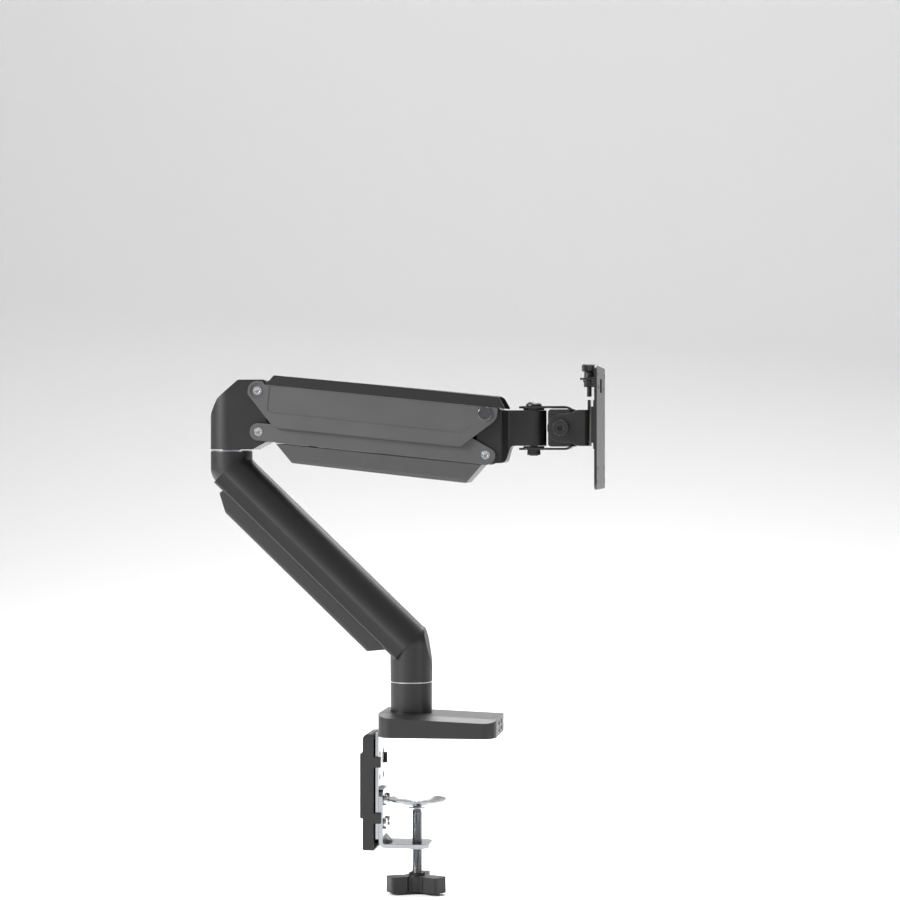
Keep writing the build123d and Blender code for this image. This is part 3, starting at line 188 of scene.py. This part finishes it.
def tint(tree, shader, pattern, colour, lift):
    """Lets the colour drift a little between the base and a lighter tone."""
    base = linear(colour)
    pale = tuple(min(1.0, c * lift) for c in base[:3]) + (1.0,)
    ramp = add_node(tree, "ShaderNodeValToRGB", None, {"Fac": pattern})
    ramp.color_ramp.elements[0].position = 0.3
    ramp.color_ramp.elements[0].color = base
    ramp.color_ramp.elements[1].position = 0.7
    ramp.color_ramp.elements[1].color = pale
    tree.links.new(ramp.outputs["Color"], shader.inputs["Base Color"])


def powder_coat(name, colour, rough):
    """Powder-coated cast aluminium: a soft sheen with a very fine orange peel."""
    material, tree, shader, place = start_material(name, **{"IOR": 1.5, "Specular IOR Level": 0.5})
    # Real orange peel is about 0.5 mm across, drawn at 0.9 mm so that it shows.
    raise_surface(tree, shader, grain(tree, place, 0.9), 0.03, 0.35)
    vary(tree, shader.inputs["Roughness"], grain(tree, place, 14.0), rough - 0.03, rough + 0.05)
    tint(tree, shader, grain(tree, place, 30.0), colour, 1.12)
    return material


def moulded_abs(name, colour, rough, texture_mm, depth_mm):
    """Injection-moulded ABS from a spark-eroded mould: matt with a fine even grain."""
    material, tree, shader, place = start_material(name, **{"IOR": 1.53})
    raise_surface(tree, shader, grain(tree, place, texture_mm, 3.0), depth_mm, 0.7)
    vary(tree, shader.inputs["Roughness"], grain(tree, place, texture_mm * 3), rough - 0.04, rough + 0.06)
    tint(tree, shader, grain(tree, place, texture_mm * 1.5), colour, 1.5)
    return material


def chrome_plate(name, colour):
    """Bright chrome on pressed steel: a mirror with faint polishing waves."""
    material, tree, shader, place = start_material(name, **{"Metallic": 1.0})
    raise_surface(tree, shader, grain(tree, place, 9.0, 1.0), 0.05, 0.25)
    vary(tree, shader.inputs["Roughness"], grain(tree, place, 6.0), 0.13, 0.24)
    tint(tree, shader, grain(tree, place, 25.0), colour, 1.05)
    return material


def zinc_plate(name, colour):
    """Bright zinc on steel screws: pale metal with a soft turned gloss."""
    material, tree, shader, place = start_material(name, **{"Metallic": 1.0})
    raise_surface(tree, shader, grain(tree, place, 0.6), 0.02, 0.3)
    vary(tree, shader.inputs["Roughness"], grain(tree, place, 2.0), 0.22, 0.34)
    tint(tree, shader, grain(tree, place, 4.0), colour, 1.08)
    return material


def blackened_steel(name, colour, rough):
    """Black electrophoretic paint on pressed steel: thin, even and lightly glossy."""
    material, tree, shader, place = start_material(name, **{"IOR": 1.55, "Specular IOR Level": 0.6})
    raise_surface(tree, shader, grain(tree, place, 1.6), 0.02, 0.25)
    vary(tree, shader.inputs["Roughness"], grain(tree, place, 8.0), rough - 0.04, rough + 0.05)
    tint(tree, shader, grain(tree, place, 12.0), colour, 1.2)
    return material


def turned_steel(name):
    """Ground steel bar: grey metal with fine rings round it."""
    material, tree, shader, place = start_material(name, **{"Metallic": 1.0})
    settings = {"Scale": per_metre(1.2), "Distortion": 0.4, "bands_direction": "Z"}
    rings = add_node(tree, "ShaderNodeTexWave", settings, {"Vector": place}).outputs["Fac"]
    raise_surface(tree, shader, rings, 0.01, 0.3)
    vary(tree, shader.inputs["Roughness"], rings, 0.24, 0.33)
    tint(tree, shader, rings, "#A9ABAE", 1.1)
    return material


def acetal(name):
    """Machined acetal bearing stock: warm white and waxy."""
    material, tree, shader, place = start_material(name, **{"IOR": 1.48, "Subsurface Weight": 0.05})
    raise_surface(tree, shader, grain(tree, place, 0.8), 0.01, 0.3)
    vary(tree, shader.inputs["Roughness"], grain(tree, place, 5.0), 0.38, 0.48)
    tint(tree, shader, grain(tree, place, 6.0), "#D9D5C8", 1.05)
    return material


def eva_foam(name):
    """Closed-cell EVA foam: dull black with open cut cells."""
    material, tree, shader, place = start_material(name, **{"IOR": 1.45})
    cells = add_node(tree, "ShaderNodeTexVoronoi", {"Scale": per_metre(0.8)}, {"Vector": place})
    raise_surface(tree, shader, cells.outputs["Distance"], 0.1, 0.8)
    vary(tree, shader.inputs["Roughness"], cells.outputs["Distance"], 0.8, 0.95)
    tint(tree, shader, cells.outputs["Distance"], "#161616", 1.6)
    return material


def solder_mask(name):
    """Green lacquer on glass-fibre board: glossy over a faint weave."""
    material, tree, shader, place = start_material(name, **{"IOR": 1.52})
    weave = grain(tree, place, 0.5)
    raise_surface(tree, shader, weave, 0.01, 0.3)
    vary(tree, shader.inputs["Roughness"], weave, 0.25, 0.4)
    tint(tree, shader, weave, "#0F4A2A", 1.3)
    return material


def make_finishes():
    """One material for each material slot of the frame."""
    colours = bpy.context.scene.arm_colours
    return {
        "black_coat": powder_coat("black_powder_coat", colours.coat, 0.40),
        "grey_coat": powder_coat("grey_powder_coat", colours.link_coat, 0.46),
        "black_plastic": moulded_abs("black_grained_abs", colours.moulding, 0.50, 0.9, 0.10),
        "top_plastic": moulded_abs("black_fine_abs", colours.moulding, 0.42, 0.6, 0.03),
        "grey_plastic": moulded_abs("grey_fine_abs", colours.guard, 0.48, 0.7, 0.04),
        "chrome": chrome_plate("chrome_plate", colours.chrome),
        "zinc": zinc_plate("bright_zinc", colours.zinc),
        "black_steel": blackened_steel("blackened_steel", colours.oxide, 0.34),
        "bearing_plastic": acetal("machined_acetal"),
        "foam": eva_foam("eva_foam"),
        "board": solder_mask("solder_mask"),
        "steel": turned_steel("ground_steel"),
    }


def finish_for(node):
    """The material of a node, made once and shared."""
    slot = "top_plastic" if node == "top_cover" else NODE_SLOT[node]
    if not FINISHES:
        FINISHES.update(make_finishes())
    return FINISHES[slot]


FINISHES = {}


# ---- mesh helpers ---------------------------------------------------------
def coat(nodes):
    """Gives carried-over nodes their finish."""
    for node in nodes:
        piece = frame["nodes"][node]
        for holder in piece.material_slots:
            holder.material = finish_for(node)


def settle(piece, node):
    """Ties a new piece to the body, slot and node that it stands for."""
    piece.data.materials.clear()
    piece.data.materials.append(finish_for(node))
    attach(piece, NODE_BODY[node])
    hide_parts(node)


def link_piece(name, mesh):
    """Puts a mesh in the scene as a named piece."""
    piece = bpy.data.objects.new(name, mesh)
    bpy.context.scene.collection.objects.link(piece)
    return piece


def soften(node, radius):
    """Stands a piece with rounded edges in for a node of the same shape."""
    mesh = frame["nodes"][node].data.copy()
    work = bmesh.new()
    work.from_mesh(mesh)
    bmesh.ops.remove_doubles(work, verts=work.verts, dist=WELD)
    bmesh.ops.dissolve_limit(
        work, angle_limit=radians(FLAT_WITHIN), verts=work.verts, edges=work.edges, delimit={"NORMAL"}
    )
    work.to_mesh(mesh)
    work.free()
    piece = link_piece(node + "_finished", mesh)
    bevel = piece.modifiers.new("edges", "BEVEL")
    bevel.width = radius
    bevel.segments = BEVEL_STEPS
    bevel.limit_method = "ANGLE"
    bevel.angle_limit = radians(BEVEL_FROM)
    bevel.miter_outer = "MITER_ARC"
    apply_all(piece)
    piece.data.shade_smooth()
    piece.data.set_sharp_from_angle(angle=radians(SHARP_FROM))
    weigh = piece.modifiers.new("normals", "WEIGHTED_NORMAL")
    weigh.keep_sharp = True
    apply_all(piece)
    settle(piece, node)


def apply_all(piece):
    """Applies every modifier to the mesh."""
    bpy.context.view_layer.update()
    graph = bpy.context.evaluated_depsgraph_get()
    mesh = bpy.data.meshes.new_from_object(piece.evaluated_get(graph))
    piece.modifiers.clear()
    piece.data = mesh


def turned(name, profile, centre, sides, warp):
    """A piece turned about an upright axis from (radius, height) points."""
    work = bmesh.new()
    rings = []
    for radius, height in profile:
        ring = []
        for step in range(sides):
            angle = tau * step / sides
            swing = warp(radius, angle)
            place = Vector((swing * cos(angle), swing * sin(angle), height)) + centre
            ring.append(work.verts.new(place))
        rings.append(ring)
    for low, high in zip(rings, rings[1:]):
        for step in range(sides):
            following = (step + 1) % sides
            work.faces.new((low[step], low[following], high[following], high[step]))
    work.faces.new(list(reversed(rings[0])))
    work.faces.new(rings[-1])
    bmesh.ops.recalc_face_normals(work, faces=work.faces)
    mesh = bpy.data.meshes.new(name)
    work.to_mesh(mesh)
    work.free()
    piece = link_piece(name, mesh)
    mesh.shade_smooth()
    mesh.set_sharp_from_angle(angle=radians(35))
    return piece


def middle(node):
    """The centre, low corner and high corner of a node."""
    low, high = (Vector(corner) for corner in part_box(node))
    return (low + high) / 2, low, high


# ---- operators ------------------------------------------------------------
class PieceOperator:
    """What every operator here shares."""

    bl_options = {"REGISTER", "UNDO"}

    def execute(self, context):
        self.make(context.scene.arm_edges, context.scene.arm_screw)
        return {"FINISHED"}


class ARM_OT_castings(PieceOperator, bpy.types.Operator):
    """Rounds and coats the cast column, arm, elbow and head"""

    bl_idname = "arm.castings"
    bl_label = "Castings"

    def make(self, edges, screw):
        for node in ("column", "lower_arm", "elbow_hub", "head_hub"):
            soften(node, edges.casting)


class ARM_OT_base(PieceOperator, bpy.types.Operator):
    """Finishes the base, its pad and the plate inside it"""

    bl_idname = "arm.base"
    bl_label = "Base"

    def make(self, edges, screw):
        soften("base_housing", edges.moulding)
        coat(("base_pad", "base_plate", "usb_board"))


class ARM_OT_sockets(PieceOperator, bpy.types.Operator):
    """Finishes the ports, jacks and cable gland of the base"""

    bl_idname = "arm.sockets"
    bl_label = "Sockets"

    def make(self, edges, screw):
        coat(("usb_ports", "audio_jacks"))
        soften("cable_gland", edges.turning)


class ARM_OT_links(PieceOperator, bpy.types.Operator):
    """Finishes the two parallel links"""

    bl_idname = "arm.links"
    bl_label = "Links"

    def make(self, edges, screw):
        for node in ("upper_link", "lower_link"):
            soften(node, edges.pressing)


class ARM_OT_covers(PieceOperator, bpy.types.Operator):
    """Finishes the moulded covers"""

    bl_idname = "arm.covers"
    bl_label = "Covers"

    def make(self, edges, screw):
        for node in ("top_cover", "arm_cable_cover", "lower_arm_cover", "rear_cover"):
            soften(node, edges.moulding)


class ARM_OT_brackets(PieceOperator, bpy.types.Operator):
    """Finishes the chromed clamp brackets, their nut and the seam rings"""

    bl_idname = "arm.brackets"
    bl_label = "Clamp brackets"

    def make(self, edges, screw):
        for node in ("upper_bracket", "lower_bracket"):
            soften(node, edges.pressing)
        coat(("clamp_nut", "column_ring", "elbow_ring"))


class ARM_OT_disc(PieceOperator, bpy.types.Operator):
    """Finishes the clamp disc and its rivet"""

    bl_idname = "arm.disc"
    bl_label = "Clamp disc"

    def make(self, edges, screw):
        soften("pad_disc", edges.turning)
        soften("pad_rivet", edges.turning)


class ARM_OT_clamp_screw(PieceOperator, bpy.types.Operator):
    """Cuts a real thread on the clamp screw"""

    bl_idname = "arm.clamp_screw"
    bl_label = "Clamp screw"

    def make(self, edges, screw):
        centre, low, high = middle("clamp_screw")
        radius = (high.x - low.x) / 2
        around = 48
        per_turn = 8
        lead_in = 2 * MM
        bar_height = high.z - low.z
        steps = int(bar_height / screw.pitch * per_turn)
        work = bmesh.new()
        rings = []
        for row in range(steps + 1):
            height = low.z + bar_height * row / steps
            ring = []
            for step in range(around):
                angle = tau * step / around
                phase = ((height - low.z) / screw.pitch - step / around) % 1.0
                cut = screw.depth * (1 - abs(2 * phase - 1))
                ends = min(1.0, (high.z - height) / lead_in, (height - low.z) / lead_in)
                reach = radius - (cut if ends >= 1.0 else max(cut, screw.depth * (1.6 - ends)))
                ring.append(
                    work.verts.new((centre.x + reach * cos(angle), centre.y + reach * sin(angle), height))
                )
            rings.append(ring)
        for under, over in zip(rings, rings[1:]):
            for step in range(around):
                following = (step + 1) % around
                work.faces.new((under[step], under[following], over[following], over[step]))
        work.faces.new(list(reversed(rings[0])))
        work.faces.new(rings[-1])
        mesh = bpy.data.meshes.new("threaded_bar")
        work.to_mesh(mesh)
        work.free()
        mesh.shade_smooth()
        mesh.set_sharp_from_angle(angle=radians(70))
        settle(link_piece("threaded_bar", mesh), "clamp_screw")


class ARM_OT_knob(PieceOperator, bpy.types.Operator):
    """Rounds the moulded knob"""

    bl_idname = "arm.knob"
    bl_label = "Knob"

    def make(self, edges, screw):
        soften("clamp_knob", edges.moulding)


class ARM_OT_fasteners(PieceOperator, bpy.types.Operator):
    """Finishes the screws, bolts and pivot pins"""

    bl_idname = "arm.fasteners"
    bl_label = "Fasteners"

    def make(self, edges, screw):
        for node in ("bracket_bolts", "rear_pins", "front_pins", "front_pivot_caps"):
            soften(node, edges.turning)
        coat(("bracket_screws", "column_screws", "lower_cover_screws", "top_cover_screws"))


class ARM_OT_head(PieceOperator, bpy.types.Operator):
    """Finishes the pan, tilt and hook brackets and their bolts"""

    bl_idname = "arm.head"
    bl_label = "Head brackets"

    def make(self, edges, screw):
        for node in ("pan_bracket", "tilt_bracket", "hook_plate", "vesa_plate"):
            soften(node, edges.pressing)
        for node in ("pan_bolt", "pan_nut", "tilt_bolt", "tilt_nut", "rotate_bolt", "lock_nut"):
            soften(node, edges.turning)
        coat(("pan_washers",))


class ARM_OT_thumbscrew(PieceOperator, bpy.types.Operator):
    """Turns the thumbscrew with a ridged grip and a threaded stem"""

    bl_idname = "arm.thumbscrew"
    bl_label = "Thumbscrew"

    def make(self, edges, screw):
        centre, low, high = middle("thumbscrew")
        grip = (high.y - low.y) / 2
        stem = 2.4 * MM
        groove = 0.3 * MM
        neck = 4.9 * MM
        chamfer = 0.8 * MM
        ridge_depth = 0.5 * MM
        sides = 240
        head_height = 7.0 * MM
        neck_height = 5.4 * MM
        edge_in = 1.2 * MM
        edge_down = 0.9 * MM
        rim_in = 3.2 * MM
        dish_in = 3.6 * MM
        dish_depth = 0.7 * MM
        dish_centre = 0.4 * MM
        head_low = high.z - head_height
        neck_low = head_low - neck_height
        profile = [(stem * 0.7, low.z)]
        rows = 28
        for row in range(rows):
            height = low.z + chamfer + (neck_low - low.z - chamfer) * row / rows
            profile.append((stem - (groove if row % 2 else 0.0), height))
        profile += [
            (stem, neck_low),
            (neck, neck_low),
            (neck, head_low - chamfer),
            (neck - chamfer, head_low),
        ]
        profile += [
            (grip - edge_in, head_low),
            (grip, head_low + edge_down),
            (grip, high.z - edge_down),
            (grip - edge_in, high.z),
            (grip - rim_in, high.z),
            (grip - dish_in, high.z - dish_depth),
            (dish_centre, high.z - dish_depth),
        ]

        def ridge(radius, angle):
            """Cuts the ridges into the widest stretch only."""
            if radius < grip - 0.01 * MM:
                return radius
            return radius - ridge_depth * (0.5 + 0.5 * cos(angle * screw.ridges))

        piece = turned("ridged_thumbscrew", profile, Vector((centre.x, centre.y, 0)), sides, ridge)
        settle(piece, "thumbscrew")


class ARM_OT_bearings(PieceOperator, bpy.types.Operator):
    """Finishes the bushes, washers and spindles inside the joints"""

    bl_idname = "arm.bearings"
    bl_label = "Bearings"

    def make(self, edges, screw):
        coat(("column_bush", "elbow_bush", "pan_bush", "tilt_washers", "rotate_washer", "spring_spacers"))
        coat(("lower_spindle", "spindle_retainer", "elbow_spindle", "elbow_clip"))


class ARM_OT_spring(PieceOperator, bpy.types.Operator):
    """Finishes the gas spring and its pins"""

    bl_idname = "arm.spring"
    bl_label = "Gas spring"

    def make(self, edges, screw):
        soften("gas_cylinder", edges.turning)
        coat(("gas_rod", "spring_rear_pin", "spring_front_pin"))


class ARM_OT_stage(PieceOperator, bpy.types.Operator):
    """Adds the pale floor, the soft lights and the camera"""

    bl_idname = "arm.stage"
    bl_label = "Stage"

    def make(self, edges, screw):
        colours = bpy.context.scene.arm_colours
        floor_z = CAD_BOX[0][2] - 2 * MM
        reach = 9.0
        curve = 2.0
        front = -6.0
        back = 5.0
        rise = 7.0
        steps = 16
        lines = [(front, floor_z)]
        for step in range(steps + 1):
            angle = pi / 2 * step / steps
            lines.append((back - curve + curve * sin(angle), floor_z + curve - curve * cos(angle)))
        lines.append((back, floor_z + rise))
        work = bmesh.new()
        rows = [[work.verts.new((x, y, z)) for x in (-reach, reach)] for y, z in lines]
        for near, far in zip(rows, rows[1:]):
            work.faces.new((near[0], near[1], far[1], far[0]))
        mesh = bpy.data.meshes.new("floor_sweep")
        work.to_mesh(mesh)
        work.free()
        mesh.shade_smooth()
        floor = link_piece("floor_sweep", mesh)
        paint, tree, shader, place = start_material("matt_white_paint", **{"Roughness": 0.9})
        tint(tree, shader, grain(tree, place, 400.0), colours.floor, 1.0)
        mesh.materials.append(paint)
        self.add_cards()
        self.add_lights()
        self.add_camera()

    def add_lights(self):
        """A dim white room with a key on the left, a weak fill, and lamps above and behind."""
        world = bpy.data.worlds.new("studio")
        bpy.context.scene.world = world
        world.use_nodes = True
        world.node_tree.nodes["Background"].inputs["Color"].default_value = (1, 1, 1, 1)
        world.node_tree.nodes["Background"].inputs["Strength"].default_value = 0.36
        lamps = (
            ("key", (-2.0, -1.1, 1.3), 1.0, 95.0),
            ("fill", (2.0, -1.2, 0.2), 0.7, 4.0),
            ("top", (0.3, 0.2, 2.0), 1.2, 34.0),
            ("back", (0.3, 2.0, 2.6), 2.6, 120.0),
        )
        target = Vector((0.0, 0.0, 0.2))
        for name, place, size, power in lamps:
            lamp = bpy.data.lights.new(name, "AREA")
            lamp.size = size
            lamp.energy = power
            holder = bpy.data.objects.new(name, lamp)
            holder.location = place
            holder.rotation_euler = (target - Vector(place)).to_track_quat("-Z", "Y").to_euler()
            bpy.context.scene.collection.objects.link(holder)

    def add_cards(self):
        """Dark cards out of view, for the plated parts to reflect."""
        felt, tree, shader, place = start_material("black_felt", **{"Roughness": 0.95})
        tint(tree, shader, grain(tree, place, 2.0), "#303030", 1.3)
        cards = (
            ("card_front", (-0.36, -2.75, -0.1), 0.42, 1.2),
            ("card_left", (-1.5, -0.4, -0.1), 0.5, 0.7),
            ("card_right", (1.5, -0.5, -0.1), 0.5, 0.7),
        )
        target = Vector((0.0, 0.0, -0.05))
        for name, spot, wide, high in cards:
            signs = ((-1, -1), (1, -1), (1, 1), (-1, 1))
            corners = [(x * wide / 2, y * high / 2, 0.0) for x, y in signs]
            mesh = bpy.data.meshes.new(name)
            mesh.from_pydata(corners, [], [(0, 1, 2, 3)])
            mesh.materials.append(felt)
            card = link_piece(name, mesh)
            card.location = spot
            card.rotation_euler = (target - Vector(spot)).to_track_quat("-Z", "Y").to_euler()

    def add_camera(self):
        """A long lens, level with the middle of the arm and a little to its right."""
        data = bpy.data.cameras.new("camera")
        data.lens = 109.5
        data.sensor_width = 36.0
        data.clip_end = 60.0
        camera = bpy.data.objects.new("camera", data)
        target = Vector((0.037, 0.0, 0.270))
        turn = radians(7.0)
        distance = 2.6
        camera.location = target + Vector((sin(turn), -cos(turn), 0.0)) * distance
        camera.rotation_euler = (radians(90), 0.0, turn)
        bpy.context.scene.collection.objects.link(camera)
        bpy.context.scene.camera = camera
        bpy.context.scene.view_settings.view_transform = "Standard"


class ARM_PT_panel(bpy.types.Panel):
    """Lists the arm's pieces and their sizes"""

    bl_idname = "ARM_PT_panel"
    bl_label = "Monitor Arm"
    bl_space_type = "VIEW_3D"
    bl_region_type = "UI"
    bl_category = "Monitor Arm"

    def draw(self, context):
        for operator in OPERATORS:
            self.layout.operator(operator.bl_idname)
        for group in (context.scene.arm_edges, context.scene.arm_screw, context.scene.arm_colours):
            box = self.layout.box()
            for name in group.__annotations__:
                box.prop(group, name)


GROUPS = {"arm_edges": ARM_PG_edges, "arm_screw": ARM_PG_screw, "arm_colours": ARM_PG_colours}
OPERATORS = (
    ARM_OT_stage,
    ARM_OT_castings,
    ARM_OT_base,
    ARM_OT_sockets,
    ARM_OT_links,
    ARM_OT_covers,
    ARM_OT_brackets,
    ARM_OT_disc,
    ARM_OT_clamp_screw,
    ARM_OT_knob,
    ARM_OT_fasteners,
    ARM_OT_head,
    ARM_OT_thumbscrew,
    ARM_OT_bearings,
    ARM_OT_spring,
)


def register():
    """Registers the settings, the operators and the panel."""
    for name, group in GROUPS.items():
        bpy.utils.register_class(group)
        setattr(bpy.types.Scene, name, bpy.props.PointerProperty(type=group))
    for operator in OPERATORS:
        bpy.utils.register_class(operator)
    bpy.utils.register_class(ARM_PT_panel)


def unregister():
    """Takes back everything that register added."""
    bpy.utils.unregister_class(ARM_PT_panel)
    for operator in reversed(OPERATORS):
        bpy.utils.unregister_class(operator)
    for name, group in GROUPS.items():
        delattr(bpy.types.Scene, name)
        bpy.utils.unregister_class(group)


def main():
    """Makes every piece in order."""
    register()
    for operator in OPERATORS:
        group, name = operator.bl_idname.split(".")
        getattr(getattr(bpy.ops, group), name)()


if __name__ == "__main__":
    main()
